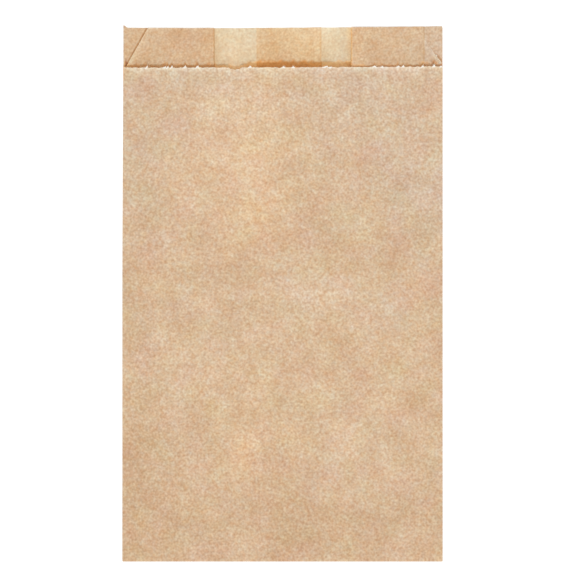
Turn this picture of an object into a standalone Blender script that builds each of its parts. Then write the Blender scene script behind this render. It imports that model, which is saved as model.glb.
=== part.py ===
"""Flat kraft paper bag with side gussets, one folded sheet, lying on its back.

The bag is made the way the machine makes it. A flat blank is scored along its creases, its ends are
trimmed with saw-tooth edges and a stepped mouth, and the blank is then folded: round its sides into a
flat tube with two gussets and a lapped back seam, and under at the bottom into a tail.

The bag lies with its mouth towards +Y, its front panel up (+Z) and its back on the floor at Z = 0.
The origin is on the floor, in the middle of the bag's outline. Everything is in metres.
"""

import functools
import math

import bmesh
import bpy

# Sheet
PAPER = 0.0001  # thickness of the kraft paper
PLY_GAP = 0.0001  # air left between plies that lie together

# Outline of the folded bag
BAG_WIDTH = 0.150
BAG_LENGTH = 0.250  # from the outside of the bottom fold to the top of the lip
LIP = 0.018  # how far the back and the gussets stand above the front panel
GUSSET_DEPTH = 0.0428  # from the side of the bag in to the gusset's crease
TAIL = 0.016  # length of the folded bottom, under the back

# Lapped seam down the back
SEAM_EDGE = 0.0183  # X of the free edge that shows inside the bag
SEAM_LAP = 0.0305
SEAM_STEP = 0.003  # width over which the inside ply climbs onto the outside ply

# How far the unused bag has sprung open
SIDE_SPRING = 0.0006  # the gusset's opening at the side of the bag
BODY_RISE = 0.0055  # crown of the front panel above its sides, in the middle of the bag
MOUTH_RISE = 0.0047  # the same at the front panel's cut edge
CREASE_SHARE = 0.55  # the gusset's crease is lifted by this share of the crown
CROWN_POWER = 2.2  # above 2 keeps the middle of the crown flat
PRESSED_LENGTH = 0.002  # still flat for this length beyond the end of the tail
SETTLE_LENGTH = 0.030  # then the back comes down to the floor over this length
RISE_LENGTH = 0.110  # and the front panel reaches its crown over this length
MOUTH_EASE = 0.060  # the crown changes to its height at the mouth over this length

# Saw-tooth cuts of the front panel's mouth and of the tail
TOOTH_PITCH = 0.003
TOOTH_DEPTH = 0.0007
TOOTH_VARIATION = 0.5  # share of the depth that changes from tooth to tooth
NICK_CENTRE = -0.0223  # X of a shallow dip in the front panel's cut
NICK_WIDTH = 0.0075
NICK_DEPTH = 0.0010

# The mouth's cut steps down across each gusset: (distance from the side, depth below the lip's top)
LEFT_STEP = ((0.0022, LIP), (0.0118, 0.0))
RIGHT_STEP = ((0.0012, LIP), (0.0087, 0.0048), (0.0091, 0.0))

# A small torn ear on the left corner of the lip
EAR_HEIGHT = 0.0013
EAR_WIDTH = 0.0020

# How finely the blank is scored
FOLD_STEPS = 4  # facets round each side fold and crease
BOTTOM_STEPS = 6  # facets round the bottom fold
FRONT_CELLS = 10
GUSSET_CELLS = 3
BACK_CELLS = 3
SETTLE_ROWS = 5
BODY_ROWS = 7
MOUTH_ROWS = 2
MOUTH_BAND = 0.006  # the part of the blank that is trimmed to the mouth's cut
TAIL_BAND = 0.003  # the part that is trimmed to the tail's cut

KRAFT_COLOUR = (0.686, 0.491, 0.319, 1.0)
KRAFT_ROUGHNESS = 0.85
SHARP_EDGE = math.radians(35)
SAME_LINE = 1e-6  # points this near a score line are on it

PLY_PITCH = PAPER + PLY_GAP
FOLD_RADIUS = PLY_PITCH / 2  # to the middle of the paper
FOLD_ARC = math.pi * FOLD_RADIUS
HALF_WIDTH = BAG_WIDTH / 2
SIDE_X = HALF_WIDTH - PAPER / 2 - FOLD_RADIUS  # centre of the side folds
CREASE_X = HALF_WIDTH - GUSSET_DEPTH + PAPER / 2 + FOLD_RADIUS  # centre of the gussets' creases
SEAM_OUTER_EDGE = SEAM_EDGE - SEAM_LAP

# Plies of the pressed bag, counted from the back
BACK = 0
GUSSET_LOWER = 1
GUSSET_UPPER = 2
FRONT = 3

# The stack of plies turns half round this axis at the bottom and rests on the floor
AXIS_Z = FOLD_RADIUS + FRONT * PLY_PITCH + PAPER / 2
BODY_START = TAIL + FOLD_ARC  # the bottom fold ends and the body begins here, along the blank
BODY_LENGTH = BAG_LENGTH - AXIS_Z  # from the axis to the top of the lip
BLANK_LENGTH = BODY_START + BODY_LENGTH
FRONT_LENGTH = BODY_LENGTH - LIP
TRIM_START = FRONT_LENGTH - MOUTH_BAND
SETTLE_START = TAIL + PRESSED_LENGTH
MIDDLE_Y = (BODY_LENGTH + EAR_HEIGHT - AXIS_Z) / 2


def mix(low, high, share):
    return low + (high - low) * share


def ramp(value, start, end):
    """0 before start, 1 after end, and a straight climb between them."""
    return min(1.0, max(0.0, (value - start) / (end - start)))


def ease(value, start, end):
    """The same climb, made smooth at both ends."""
    share = ramp(value, start, end)
    return share * share * (3 - 2 * share)


def spread(count, start, end):
    """Evenly spaced score lines from start to end, both included."""
    return [mix(start, end, i / count) for i in range(count + 1)]


def scatter(number):
    """A fixed value from 0 to 1 for each whole number, with no visible order."""
    return (math.sin(number * 12.9898) * 43758.5453) % 1.0


def crown(y):
    """Height of the front panel's middle above its sides, at a distance from the bottom fold."""
    body = BODY_RISE * ease(y, SETTLE_START, SETTLE_START + RISE_LENGTH)
    return body + (MOUTH_RISE - BODY_RISE) * ease(y, FRONT_LENGTH - MOUTH_EASE, FRONT_LENGTH)


def ply_heights(ply, x, y):
    """Height of a ply's middle: pressed, from the bottom fold's axis, and sprung open, from the floor."""
    pressed = FOLD_RADIUS + ply * PLY_PITCH
    into_gusset = ramp(abs(x), SIDE_X, CREASE_X)
    if ply == BACK:
        return pressed, PAPER / 2
    lower = PAPER / 2 + PLY_PITCH + CREASE_SHARE * crown(y) * into_gusset
    if ply == GUSSET_LOWER:
        return pressed, lower
    if ply == GUSSET_UPPER:
        return pressed, lower + mix(SIDE_SPRING, PLY_PITCH, into_gusset)
    side = PAPER / 2 + PLY_PITCH + SIDE_SPRING + PLY_PITCH
    return pressed, side + crown(y) * (1 - abs(x / SIDE_X) ** CROWN_POWER)


class Panel:
    """A flat run of the tube's section, from one X to another."""

    def __init__(self, ply, start_x, end_x, cells, cut=None, marks=()):
        self.ply = ply
        self.start_x = start_x
        self.end_x = end_x
        self.length = abs(end_x - start_x)
        self.cells = cells
        self.cut = cut or (lambda x: 0.0)
        self.marks = [abs(mark - start_x) for mark in marks]

    def scores(self):
        return spread(self.cells, 0.0, self.length) + self.marks

    def x_at(self, distance):
        return mix(self.start_x, self.end_x, distance / self.length)

    def place(self, distance, y):
        x = self.x_at(distance)
        return x, *ply_heights(self.ply, x, y)


class SeamPanel(Panel):
    """The half of the back whose free edge lies on top of the other half's, inside the bag."""

    def place(self, distance, y):
        x, pressed, opened = super().place(distance, y)
        lift = PLY_PITCH * ramp(x, SEAM_OUTER_EDGE - SEAM_STEP, SEAM_OUTER_EDGE - PLY_GAP)
        return x, pressed + lift, opened + lift


class Fold:
    """A half turn of the paper from one ply to the next, bulging to the given side (-1 or 1)."""

    def __init__(self, from_ply, to_ply, centre_x, side, cut=0.0):
        self.ply = None
        self.from_ply = from_ply
        self.to_ply = to_ply
        self.centre_x = centre_x
        self.side = side
        self.length = FOLD_ARC
        self.cut = lambda x: cut

    def scores(self):
        return spread(FOLD_STEPS, 0.0, self.length)

    def x_at(self, distance):
        return self.centre_x + self.side * FOLD_RADIUS * math.sin(math.pi * distance / self.length)

    def place(self, distance, y):
        turn = (1 - math.cos(math.pi * distance / self.length)) / 2
        first = ply_heights(self.from_ply, self.centre_x, y)
        last = ply_heights(self.to_ply, self.centre_x, y)
        return self.x_at(distance), mix(first[0], last[0], turn), mix(first[1], last[1], turn)


def step_cut(step, x):
    """Depth of a gusset's stepped cut below the lip's top."""
    inset = HALF_WIDTH - abs(x)
    depth = step[0][1]
    for (start, start_depth), (end, end_depth) in zip(step, step[1:]):
        if inset > start:
            depth = mix(start_depth, end_depth, ramp(inset, start, end))
    return depth


def ear_cut(x):
    """The torn ear stands above the lip's top, so its depth is below zero."""
    return -EAR_HEIGHT * (1 - ramp(HALF_WIDTH + x, 0.0, EAR_WIDTH))


def front_cut(x):
    nick = NICK_DEPTH * (1 - ease(abs(x - NICK_CENTRE), NICK_WIDTH / 4, NICK_WIDTH / 2))
    return LIP + nick


def tube_section():
    """The runs of the blank in order, from the seam's inside edge round to its outside edge."""
    ear_marks = (-HALF_WIDTH + EAR_WIDTH,)
    lap_marks = (SEAM_OUTER_EDGE - PLY_GAP, SEAM_OUTER_EDGE - SEAM_STEP)
    left_marks = [-HALF_WIDTH + inset for inset, _ in LEFT_STEP]
    right_marks = [HALF_WIDTH - inset for inset, _ in RIGHT_STEP]
    left_cut = functools.partial(step_cut, LEFT_STEP)
    right_cut = functools.partial(step_cut, RIGHT_STEP)
    return [
        SeamPanel(BACK, SEAM_EDGE, -SIDE_X, BACK_CELLS, ear_cut, lap_marks + ear_marks),
        Fold(BACK, GUSSET_LOWER, -SIDE_X, -1, -EAR_HEIGHT),
        Panel(GUSSET_LOWER, -SIDE_X, -CREASE_X, GUSSET_CELLS, ear_cut, ear_marks),
        Fold(GUSSET_LOWER, GUSSET_UPPER, -CREASE_X, 1),
        Panel(GUSSET_UPPER, -CREASE_X, -SIDE_X, GUSSET_CELLS, left_cut, left_marks),
        Fold(GUSSET_UPPER, FRONT, -SIDE_X, -1, LIP),
        Panel(FRONT, -SIDE_X, SIDE_X, FRONT_CELLS, front_cut),
        Fold(FRONT, GUSSET_UPPER, SIDE_X, 1, LIP),
        Panel(GUSSET_UPPER, SIDE_X, CREASE_X, GUSSET_CELLS, right_cut, right_marks),
        Fold(GUSSET_UPPER, GUSSET_LOWER, CREASE_X, -1),
        Panel(GUSSET_LOWER, CREASE_X, SIDE_X, GUSSET_CELLS),
        Fold(GUSSET_LOWER, BACK, SIDE_X, 1),
        Panel(BACK, SIDE_X, SEAM_OUTER_EDGE, BACK_CELLS),
    ]


def score_lines(runs):
    """Distances round the tube and along it where the blank is scored."""
    across = set()
    start = 0.0
    for run in runs:
        across.update(round(start + distance, 7) for distance in run.scores())
        start += run.length
    rows = [0.0, TAIL_BAND, TAIL]
    rows += spread(BOTTOM_STEPS, TAIL, BODY_START)
    rows += spread(SETTLE_ROWS, BODY_START + SETTLE_START, BODY_START + SETTLE_START + SETTLE_LENGTH)
    rows += spread(BODY_ROWS, BODY_START + SETTLE_START + SETTLE_LENGTH, BODY_START + TRIM_START)
    rows += spread(MOUTH_ROWS, BODY_START + TRIM_START, BLANK_LENGTH)
    along = {round(row, 7) for row in rows}
    return sorted(across), sorted(along)


def scored_blank(across, along):
    """The flat sheet, X round the tube and Y from the tail to the mouth, cut along its score lines."""
    blank = bmesh.new()
    bmesh.ops.create_grid(blank, x_segments=1, y_segments=1, size=0.5)
    bmesh.ops.translate(blank, verts=blank.verts, vec=(0.5, 0.5, 0.0))
    bmesh.ops.scale(blank, verts=blank.verts, vec=(across[-1], along[-1], 1.0))
    for normal, lines in (((1, 0, 0), across), ((0, 1, 0), along)):
        for line in lines[1:-1]:
            point = [line * axis for axis in normal]
            everything = blank.verts[:] + blank.edges[:] + blank.faces[:]
            bmesh.ops.bisect_plane(
                blank, geom=everything, dist=SAME_LINE / 10, plane_co=point, plane_no=normal
            )
    return blank


def teeth_between(start, end):
    """How many teeth the cut has between two score lines; the tight folds have none."""
    return int((end - start) / TOOTH_PITCH + 0.5)


def score_teeth(blank, across, row, first, last):
    """Divides one end of the blank into half teeth, between two of the score lines."""
    rim = [edge for edge in blank.edges if all(abs(v.co.y - row) < SAME_LINE for v in edge.verts)]
    for start, end in zip(across, across[1:]):
        teeth = teeth_between(start, end)
        if teeth and first - SAME_LINE < start and end < last + SAME_LINE:
            middle = (start + end) / 2
            edges = [edge for edge in rim if abs(sum(v.co.x for v in edge.verts) / 2 - middle) < SAME_LINE]
            bmesh.ops.subdivide_edges(blank, edges=edges, cuts=2 * teeth - 1)
            rim = [edge for edge in rim if edge.is_valid and edge not in edges]


def tooth_depth(across, distance):
    """How far the saw-tooth edge is cut back at a distance round the tube."""
    for start, end in zip(across, across[1:]):
        teeth = teeth_between(start, end)
        if teeth and start < distance < end:
            half_tooth = round((distance - start) / (end - start) * 2 * teeth)
            number = half_tooth + start / TOOTH_PITCH
            change = 1 - TOOTH_VARIATION * scatter(number)
            return TOOTH_DEPTH * (half_tooth % 2) * change
    return 0.0


def front_span(runs):
    """Distances round the tube where the front panel starts and ends."""
    before = [run.ply for run in runs].index(FRONT)
    start = sum(run.length for run in runs[:before])
    return start, start + runs[before].length


def run_at(runs, around):
    """The run at a distance round the tube, and the distance along that run."""
    for run in runs:
        if around <= run.length:
            return run, around
        around -= run.length
    return runs[-1], runs[-1].length


def trimmed(point, runs, across):
    """Moves a point of the flat blank so that the blank's two ends follow their cuts."""
    around, along, _ = point
    if along < TAIL_BAND:
        return around, mix(tooth_depth(across, around), TAIL_BAND, along / TAIL_BAND), 0.0
    share = ramp(along, BODY_START + TRIM_START, BLANK_LENGTH)
    run, distance = run_at(runs, around)
    depth = run.cut(run.x_at(distance))
    if run.ply == FRONT:
        depth += tooth_depth(across, around)
    return around, along - share * depth, 0.0


def folded(point, runs):
    """Where a point of the trimmed blank lies in the finished bag."""
    around, along, _ = point
    y = along - BODY_START
    run, distance = run_at(runs, around)
    x, pressed, opened = run.place(distance, y)
    if y >= 0:
        z = mix(AXIS_Z + pressed, opened, ease(y, SETTLE_START, SETTLE_START + SETTLE_LENGTH))
    elif along >= TAIL:
        turn = -y / FOLD_ARC * math.pi
        y = -pressed * math.sin(turn)
        z = AXIS_Z + pressed * math.cos(turn)
    else:
        outer_turn = math.pi * (pressed - FOLD_RADIUS)  # paper the outer plies lose to the fold
        y = (TAIL - along) * (1 - outer_turn / TAIL)
        z = AXIS_Z - pressed
    return x, y - MIDDLE_Y, z


def kraft_material():
    material = bpy.data.materials.new("kraft paper")
    material.use_nodes = True
    shader = material.node_tree.nodes["Principled BSDF"]
    shader.inputs["Base Color"].default_value = KRAFT_COLOUR
    shader.inputs["Roughness"].default_value = KRAFT_ROUGHNESS
    shader.inputs["Metallic"].default_value = 0.0
    material.diffuse_color = KRAFT_COLOUR
    return material


def build_bag(collection):
    runs = tube_section()
    across, along = score_lines(runs)
    blank = scored_blank(across, along)
    score_teeth(blank, across, along[0], across[0], across[-1])
    score_teeth(blank, across, along[-1], *front_span(runs))

    for vert in blank.verts:
        vert.co = trimmed(vert.co, runs, across)
    toothed = [face for face in blank.faces if len(face.verts) > 4]
    bmesh.ops.triangulate(blank, faces=toothed)
    for vert in blank.verts:
        vert.co = folded(vert.co, runs)

    mesh = bpy.data.meshes.new("paper_bag")
    blank.to_mesh(mesh)
    blank.free()
    mesh.materials.append(kraft_material())
    bag = bpy.data.objects.new("paper_bag", mesh)
    collection.objects.link(bag)

    sheet = bag.modifiers.new("paper thickness", "SOLIDIFY")
    sheet.thickness = PAPER
    sheet.offset = 0.0
    sheet.use_even_offset = True
    sheet.use_quality_normals = True
    bpy.context.view_layer.objects.active = bag
    bpy.ops.object.modifier_apply(modifier=sheet.name)
    bag.data.shade_smooth()
    bag.data.set_sharp_from_angle(angle=SHARP_EDGE)
    return bag


for old in list(bpy.data.objects):
    bpy.data.objects.remove(old, do_unlink=True)

collection = bpy.data.collections.new("paper_bag")
bpy.context.scene.collection.children.link(collection)
build_bag(collection)
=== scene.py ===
# %% [markdown]
# # A flat kraft paper bag
#
# A flat paper bag starts as one long rectangle of thin brown paper. A machine folds it round a plate into
# a tube with two gussets, laps and glues the back, cuts the tube off with a saw-toothed knife and folds
# the bottom under. This lesson follows the same order: a flat blank with its own coordinates, a cut, a
# fold, and then the finish of the paper, which is drawn in the coordinates of the flat blank so that it
# runs round every fold without a seam.
#
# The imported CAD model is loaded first. It fixes where everything is, and the dressed sheet has to fill the
# same box.

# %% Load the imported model
import math

import bmesh
import bpy
import numpy as np
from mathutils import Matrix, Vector


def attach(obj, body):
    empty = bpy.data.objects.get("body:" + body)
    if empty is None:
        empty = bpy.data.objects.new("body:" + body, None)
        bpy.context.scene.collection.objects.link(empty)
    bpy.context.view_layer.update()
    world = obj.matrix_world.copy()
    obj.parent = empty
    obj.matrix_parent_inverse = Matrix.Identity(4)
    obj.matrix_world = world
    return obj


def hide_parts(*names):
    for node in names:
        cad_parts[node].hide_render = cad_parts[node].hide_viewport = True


MM = 0.001
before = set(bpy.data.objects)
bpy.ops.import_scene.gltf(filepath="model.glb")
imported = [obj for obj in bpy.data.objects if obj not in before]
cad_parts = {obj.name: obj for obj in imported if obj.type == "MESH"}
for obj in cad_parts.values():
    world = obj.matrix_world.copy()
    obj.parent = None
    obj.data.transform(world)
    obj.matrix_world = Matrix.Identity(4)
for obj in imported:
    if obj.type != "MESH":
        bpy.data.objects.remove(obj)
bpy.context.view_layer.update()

# %% [markdown]
# ## The camera
#
# The photograph looks straight down on the bag. The bag is 150 mm wide and covers 320 of the picture's 575
# pixels, which gives the scale of the view. A long lens far away keeps the raised middle of the bag from
# spreading outwards, as a copy stand does.

# %% Camera
PHOTO_HEIGHT = 585  # pixels
BAG_PIXELS = 320
BAG_WIDTH = 150 * MM
PIXEL = BAG_WIDTH / BAG_PIXELS  # on the floor
VIEW_CENTRE = (2.34 * MM, 0.4 * MM)  # the bag lies a little to the left in the picture
LENS = 200.0  # millimetres, on a sensor 36 mm high
SENSOR = 36.0

camera_data = bpy.data.cameras.new("copy_stand")
camera_data.lens = LENS
camera_data.sensor_width = SENSOR
camera = bpy.data.objects.new("copy_stand", camera_data)
bpy.context.scene.collection.objects.link(camera)
height_of_view = PHOTO_HEIGHT * PIXEL
camera.location = (*VIEW_CENTRE, height_of_view * LENS / SENSOR)
camera_data.clip_start = 0.01
camera_data.clip_end = 100.0
bpy.context.scene.camera = camera
print("camera height, m:", round(camera.location.z, 3), "view height, mm:", round(height_of_view / MM, 1))

# %% [markdown]
# ## The sizes
#
# All sizes are in metres. The trade size of the bag is 150 by 250 mm. The rest is read from the photograph
# at the same scale: an 18 mm lip, gussets 43 mm deep, a seam lapped by 30 mm and saw teeth 3 mm apart. Only
# the tail is out of sight, and has the 16 mm that such bags have.

# %% Sizes of the sheet
PAPER = 0.10 * MM
PLY_PITCH = 0.20 * MM  # paper and the air between two plies that lie together
FOLD_RADIUS = PLY_PITCH / 2
FOLD_ARC = math.pi * FOLD_RADIUS

BAG_LENGTH = 250 * MM
LIP = 18 * MM
GUSSET_DEPTH = 42.8 * MM
TAIL = 16 * MM
SEAM_EDGE = 18.3 * MM
SEAM_LAP = 30.5 * MM
SEAM_STEP = 3 * MM

HALF_WIDTH = BAG_WIDTH / 2
SIDE_X = HALF_WIDTH - PAPER / 2 - FOLD_RADIUS
CREASE_X = HALF_WIDTH - GUSSET_DEPTH + PAPER / 2 + FOLD_RADIUS
SEAM_OUTER_EDGE = SEAM_EDGE - SEAM_LAP

BACK, GUSSET_LOWER, GUSSET_UPPER, FRONT = range(4)
AXIS_Z = FOLD_RADIUS + FRONT * PLY_PITCH + PAPER / 2  # the bottom fold turns round this height
BODY_START = TAIL + FOLD_ARC
BODY_LENGTH = BAG_LENGTH - AXIS_Z
BLANK_LENGTH = BODY_START + BODY_LENGTH
FRONT_LENGTH = BODY_LENGTH - LIP
MOUTH_BAND = 6 * MM
TRIM_START = FRONT_LENGTH - MOUTH_BAND
TAIL_BAND = 3 * MM
EAR_HEIGHT = 1.3 * MM
EAR_WIDTH = 2.0 * MM
MIDDLE_Y = (BODY_LENGTH + EAR_HEIGHT - AXIS_Z) / 2
MOUTH_Y = FRONT_LENGTH - MIDDLE_Y
print("blank length, mm:", round(BLANK_LENGTH / MM, 1), "mouth at Y, mm:", round(MOUTH_Y / MM, 2))

# %% [markdown]
# ## Small helpers for smooth changes
#
# Paper changes height softly. Three helpers do most of that work: a mix of two values, a straight ramp
# from 0 to 1, and the same ramp eased at both ends. A fourth adds up waves of mixed lengths and directions,
# and gives the gentle unevenness that a thin sheet takes from the damp in the air. Its random numbers have
# a fixed seed.

# %% Ramps and ripples
WAVES = 16


def mix(low, high, share):
    return low + (high - low) * share


def ramp(value, start, end):
    return np.clip((value - start) / (end - start), 0.0, 1.0)


def ease(value, start, end):
    share = ramp(value, start, end)
    return share * share * (3 - 2 * share)


def ripple(x, y, longest, shortest, seed):
    """Waves of many lengths added up, about 1 high."""
    draw = np.random.default_rng(seed)
    total = 0.0
    for _ in range(WAVES):
        length = longest * (shortest / longest) ** draw.random()
        angle = draw.uniform(0, math.pi)
        phase = draw.uniform(0, 2 * math.pi)
        total = total + np.sin((x * math.cos(angle) + y * math.sin(angle)) * 2 * math.pi / length + phase)
    return total / math.sqrt(WAVES)


print("a quarter of the way along, the eased ramp is at", ease(0.25, 0.0, 1.0))

# %% [markdown]
# ## How the plies lie
#
# At the bottom the plies are pressed together. Further up, the unused bag springs open a little: the front
# panel is crowned, the gussets' creases are lifted under it, and the back lies flat on the table. The
# front panel's shadow on the plies behind it tells how high its mouth stands: about 5 mm in the middle and
# 3 mm on the left, where the gusset has flattened, and only 1 mm above the right gusset, which is lifted.

# %% Heights of the plies in the body
SIDE_SPRING = 0.6 * MM
BODY_RISE = 5.5 * MM
CROWN_POWER = 2.2
CREASE_SHARE = 0.55
SETTLE_START = TAIL + 2 * MM
SETTLE_LENGTH = 30 * MM
RISE_LENGTH = 110 * MM
COCKLE = 0.10 * MM
COCKLE_LENGTHS = (70 * MM, 22 * MM)  # of the longest and the shortest wave
BURR = 0.4 * MM  # how far the saw-tooth cut has pushed the front panel's rim up
BURR_WIDTH = 1.6 * MM
TIP_CURL = 0.5  # how much a torn tip rises for its length


def crown(y):
    return BODY_RISE * ease(y, SETTLE_START, SETTLE_START + RISE_LENGTH)


crowns = [round(float(crown(y * MM)) / MM, 2) for y in (50, 90, 130)]
print("crown at 50, 90 and 130 mm from the bottom, mm:", crowns)

# %% [markdown]
# The mouth has a height of its own at each place across the bag. A few heights, read from that shadow, are
# joined by a softened line, and the last 70 mm of the bag change over from the even crown of the body to it.

# %% Heights of the plies at the mouth
MOUTH_EASE = 70 * MM
# X and height of the front panel's edge, in millimetres
MOUTH_LINE = (
    (-75, 1.1),
    (-73, 2.4),
    (-71, 3.0),
    (-60, 3.2),
    (-32, 2.75),
    (-23, 2.95),
    (-13, 4.15),
    (3, 5.0),
    (18, 4.9),
    (32, 4.2),
    (50, 3.1),
    (65, 2.6),
    (70, 2.9),
    (73, 2.2),
    (75, 1.1),
)
# X and depth of the front panel's cut below its nominal line, in millimetres
FRONT_LINE = (
    (-75, 0.6),
    (-66, 0.72),
    (-45, 0.72),
    (-30, 0.58),
    (-20, 0.62),
    (0, 0.72),
    (20, 0.62),
    (32, 0.5),
    (50, 0.35),
    (75, 0.1),
)
LEFT_CREASE_LIFT = 0.15 * MM
RIGHT_CREASE_LIFT = 2.75 * MM
LIP_SETTLE = 0.8  # the share of the lift that is gone at the lip's free end
LEFT_SETTLE = 0.8  # the share of the spring at the left side that is gone at the mouth


def through(x, places, softness):
    """A line through (X, value) pairs in millimetres, softened by averaging it over a short stretch."""
    across_mm = np.array([place[0] for place in places])
    values_mm = np.array([place[1] for place in places])
    shifts = np.linspace(-softness, softness, 9)
    return sum(np.interp(x / MM + shift, across_mm, values_mm) for shift in shifts) / len(shifts) * MM


def crease_lift(x, y):
    near_mouth = ease(y, FRONT_LENGTH - MOUTH_EASE, FRONT_LENGTH)
    at_mouth = np.where(x > 0, RIGHT_CREASE_LIFT, LEFT_CREASE_LIFT)
    return mix(CREASE_SHARE * crown(y), at_mouth, near_mouth) * (
        1 - LIP_SETTLE * ease(y, FRONT_LENGTH, FRONT_LENGTH + 0.9 * LIP)
    )


mouth_heights = through(np.array([-60, 0, 60]) * MM, MOUTH_LINE, 3.0)
print("height of the mouth at the left, the middle and the right, mm:", np.round(mouth_heights / MM, 2))

# %% Height of any ply where the bag has sprung open


def open_height(ply, x, y):
    """Height of a ply's middle above the table."""
    if ply == BACK:
        return PAPER / 2 + 0 * (x + y)  # one value for each point
    into_gusset = ramp(abs(x), SIDE_X, CREASE_X)
    lower = PAPER / 2 + PLY_PITCH + crease_lift(x, y) * into_gusset
    if ply == GUSSET_LOWER:
        return lower
    near_mouth = ease(y, FRONT_LENGTH - MOUTH_EASE, FRONT_LENGTH)
    if ply == GUSSET_UPPER:
        spring = mix(SIDE_SPRING, PLY_PITCH, near_mouth * np.where(x > 0, 1.0, LEFT_SETTLE))
        return lower + mix(spring, PLY_PITCH, into_gusset)
    inner = 1 - abs(x / SIDE_X) ** CROWN_POWER
    cockle = COCKLE * ripple(x, y, *COCKLE_LENGTHS, seed=4) * ramp(inner, 0.0, 0.4)
    body = PAPER / 2 + PLY_PITCH + SIDE_SPRING + PLY_PITCH + crown(y) * inner
    body = body + cockle * ease(y, SETTLE_START, SETTLE_START + 40 * MM)
    rim = BURR * ramp(y, FRONT_LENGTH - BURR_WIDTH, FRONT_LENGTH) ** 1.5
    in_tip = np.maximum(y - FRONT_LENGTH + through(x, FRONT_LINE, 5.0), 0.0) * near_mouth
    return mix(body, through(x, MOUTH_LINE, 3.0) + cockle, near_mouth) + rim + TIP_CURL * in_tip


heights = [float(open_height(ply, np.float64(0.04), np.float64(FRONT_LENGTH))) / MM for ply in range(4)]
print("heights at the mouth over X = 40 mm, back to front, mm:", [round(height, 2) for height in heights])

# %% [markdown]
# ## The cuts
#
# The front panel ends in the saw-toothed cut. Most of its teeth are low, and a few have torn into taller
# tips that catch the light, blunt and leaning to the right. There is one shallow dip left of the middle.
# Beyond the cut the gussets and the back stand up as the lip: the cut climbs in a slant across each gusset.
# The left corner has a tiny torn ear. All cuts are given as a depth below the top of the lip.

# %% Cuts
TOOTH_PITCH = 3 * MM
FRONT_TOOTH_DEPTH = 0.24 * MM
RANDOM_TEETH = 400  # more than the blank is wide in teeth
NICK_CENTRE = -22.3 * MM
NICK_WIDTH = 6.2 * MM
NICK_DEPTH = 0.85 * MM
LEFT_STEP = ((1.4 * MM, LIP), (11.6 * MM, 0.0))
RIGHT_STEP = ((0.1 * MM, 17.1 * MM), (3.1 * MM, 13.8 * MM), (8.7 * MM, 5.5 * MM), (9.1 * MM, 0.0))
# X and depth of the lip's cut below its nominal line, in millimetres: it climbs a little to the right
LIP_LINE = (
    (-75, -0.1),
    (-45, 0.07),
    (-10, 0.0),
    (12, -0.2),
    (32, -0.35),
    (40, -0.4),
    (50, -0.45),
    (65, -0.65),
    (75, -0.8),
)
# X, height and half width of the torn tips, in millimetres
TORN_TIPS = (
    (-63.8, 1.0, 0.6),
    (-55.3, 0.7, 0.6),
    (-54.0, 0.6, 0.6),
    (-52.0, 1.0, 0.5),
    (-45.7, 0.9, 0.6),
    (-40.1, 1.0, 0.9),
    (-15.3, 0.6, 0.9),
    (0.6, 0.4, 0.6),
    (5.0, 0.4, 0.7),
    (19.9, 0.5, 1.6),
    (22.3, 0.2, 0.8),
    (43.1, 0.7, 0.9),
    (46.6, 0.6, 0.7),
    (54.0, 0.6, 0.8),
    (56.4, 0.8, 0.6),
    (65.4, 0.7, 0.7),
    (70.8, 1.0, 0.7),
    (74.2, 0.6, 0.5),
)
# how far a tip's top lies to the right of its middle, as a share of its half width
TIP_LEANS = np.random.default_rng(5).uniform(-0.1, 0.6, len(TORN_TIPS))


def step_cut(step, x):
    insets = [inset for inset, _ in step]
    depths = [depth for _, depth in step]
    ragged = 0.05 * MM * ripple(x, 0, 9 * MM, 2 * MM, seed=9)
    return np.interp(HALF_WIDTH - abs(x), insets, depths) + through(x, LIP_LINE, 2.0) + ragged


def lip_cut(x):
    ear = EAR_HEIGHT * (1 - ramp(HALF_WIDTH + x, 0.0, EAR_WIDTH))
    return 0.04 * MM * ripple(x, 0, 20 * MM, 3 * MM, seed=8) + through(x, LIP_LINE, 2.0) - ear


def saw_teeth(distance, depth, seed):
    """A row of low teeth, each with its own share of the depth."""
    number = np.floor(distance / TOOTH_PITCH).astype(int)
    shares = np.random.default_rng(seed).uniform(0.2, 1.0, RANDOM_TEETH)
    wave = 1 - abs((distance / TOOTH_PITCH) % 1 * 2 - 1)
    return depth * shares[number % RANDOM_TEETH] * wave


def torn_share(x):
    """1 at the middle of a torn tip, falling to 0 a little beyond its foot."""
    tips = [np.clip(1 - abs(x / MM - centre) / (width + 0.5), 0.0, 1.0) for centre, _, width in TORN_TIPS]
    return np.max(tips, axis=0)


def front_cut(x):
    nick = NICK_DEPTH * (1 - ease(abs(x - NICK_CENTRE), NICK_WIDTH / 3, NICK_WIDTH / 2))
    ragged = 0.09 * MM * ripple(x, 0, 4 * MM, 1.2 * MM, seed=6)
    teeth = saw_teeth(x + HALF_WIDTH, FRONT_TOOTH_DEPTH, seed=3)
    depth = LIP + through(x, FRONT_LINE, 5.0) + nick + teeth + ragged
    for (centre, height, width), lean in zip(TORN_TIPS, TIP_LEANS):
        outline_x = (-1, lean - 0.4, lean, lean + 0.3, 1)
        depth = depth - height * MM * np.interp((x / MM - centre) / width, outline_x, (0, 0.6, 1, 0.8, 0))
    return depth


three_places = np.array([-60, 0, 60]) * MM
print("front panel is cut back from the lip by, mm:", np.round(front_cut(three_places) / MM, 2))

# %% [markdown]
# ## The runs of the tube
#
# Walking once round the tube crosses seven flat panels and six tight folds. Each is a small object that
# says where its columns of points go: how far across, how high when pressed, and how high when open. The
# columns are 0.6 mm apart on the front panel and 1.5 mm apart elsewhere, with more at the torn tips.

# %% Panels and folds


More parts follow.
